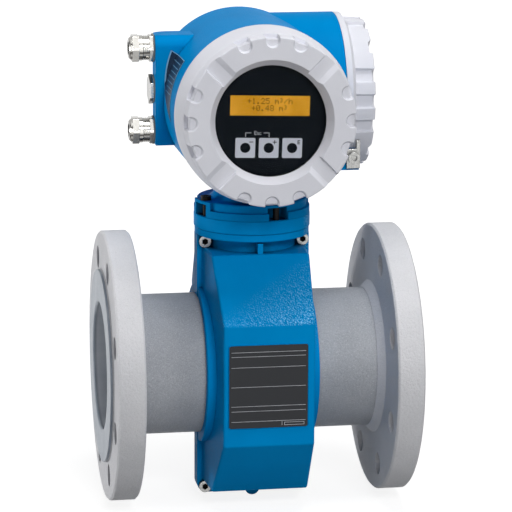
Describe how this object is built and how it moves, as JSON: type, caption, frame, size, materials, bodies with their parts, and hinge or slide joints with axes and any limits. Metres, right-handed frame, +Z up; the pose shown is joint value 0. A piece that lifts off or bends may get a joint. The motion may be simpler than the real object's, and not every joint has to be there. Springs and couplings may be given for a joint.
{
  "type": "electromagnetic flow meter",
  "caption": "Flanged electromagnetic flow meter with a blue die-cast sensor casing and a swivelling transmitter with castellated covers.",
  "frame": {"origin": "centre of the measuring tube, midway between the flange faces", "axes": "+X along the flow through the bore, -Y towards the display, +Z up through the collar to the transmitter"},
  "size_m": [0.25, 0.235, 0.3966],
  "materials": {
    "flange_coat": "satin",
    "tube_coat": "matte",
    "lining": "matte",
    "casing_blue": "satin",
    "housing_blue": "satin",
    "cover_white": "satin",
    "stainless": "brushed",
    "black_steel": "matte",
    "rubber": "matte",
    "iron": "matte",
    "coil_tape": "matte",
    "dark_plate": "satin",
    "glass": "gloss",
    "black_plastic": "matte",
    "amber": "gloss",
    "pale_key": "matte",
    "board_green": "gloss",
    "terminal_grey": "matte",
    "terminal_plated": "satin",
    "nickel": "gloss",
    "washer_grey": "matte"
  },
  "bodies": {
    "sensor": {"measuring_tube": "tube_coat", "liner": "lining", "flange_inlet": "flange_coat", "flange_outlet": "flange_coat", "casing_front": "casing_blue", "casing_rear": "casing_blue", "casing_gasket": "rubber", "casing_screws": "stainless", "nameplate": "dark_plate", "pole_shoes": "iron", "coil_upper": "coil_tape", "coil_lower": "coil_tape", "coil_cores": "iron", "return_yoke": "iron", "electrodes": "stainless", "electrode_bushes": "black_plastic", "electrode_nuts": "stainless", "collar_base": "casing_blue", "collar_ring": "casing_blue", "collar_screws": "stainless"},
    "transmitter": {"transmitter_housing": "housing_blue", "swivel_bolts": "black_steel", "swivel_nuts": "black_steel", "swivel_seal": "rubber", "side_label": "dark_plate", "board_frame": "stainless", "electronics_boards": "board_green", "terminal_carrier": "black_plastic", "terminal_strips": "terminal_grey", "terminal_screws": "terminal_plated", "cover_clamp": "stainless", "cover_clamp_screw": "stainless", "gland_body_lower": "nickel", "gland_body_upper": "nickel", "gland_insert_lower": "rubber", "gland_insert_upper": "rubber", "gland_washers": "washer_grey", "blanking_plug": "nickel"},
    "display_cover_body": {"display_cover": "cover_white", "display_cover_seal": "rubber", "window_glass": "glass", "window_retainer": "stainless"},
    "terminal_cover_body": {"terminal_cover": "cover_white", "terminal_cover_seal": "rubber"},
    "display_unit": {"display_fascia": "black_plastic", "display_carrier": "black_plastic", "lcd_panel": "amber", "key_fields": "pale_key", "key_windows": "black_plastic"},
    "cap_upper": {"gland_cap_upper": "nickel"},
    "cap_lower": {"gland_cap_lower": "nickel"}
  },
  "joints": [
    {"name": "swivel", "type": "hinge", "parent": "sensor", "child": "transmitter", "pos_m": [0, 0, 0.125], "axis": [0, 0, 1], "range_deg": [-180, 180]},
    {"name": "display_cover_turn", "type": "hinge", "parent": "transmitter", "child": "display_cover_body", "pos_m": [0, -0.0543, 0.2128], "axis": [0, -1, 0], "continuous": true},
    {"name": "terminal_cover_turn", "type": "hinge", "parent": "transmitter", "child": "terminal_cover_body", "pos_m": [0.0773, 0.059, 0.2128], "axis": [1, 0, 0], "continuous": true},
    {"name": "display_turn", "type": "hinge", "parent": "transmitter", "child": "display_unit", "pos_m": [0, -0.0824, 0.2128], "axis": [0, -1, 0], "range_deg": [-180, 180]},
    {"name": "gland_cap_upper_turn", "type": "hinge", "parent": "transmitter", "child": "cap_upper", "pos_m": [-0.0897, 0.027, 0.256], "axis": [-1, 0, 0], "continuous": true},
    {"name": "gland_cap_lower_turn", "type": "hinge", "parent": "transmitter", "child": "cap_lower", "pos_m": [-0.0897, 0.027, 0.189], "axis": [-1, 0, 0], "continuous": true}
  ]
}
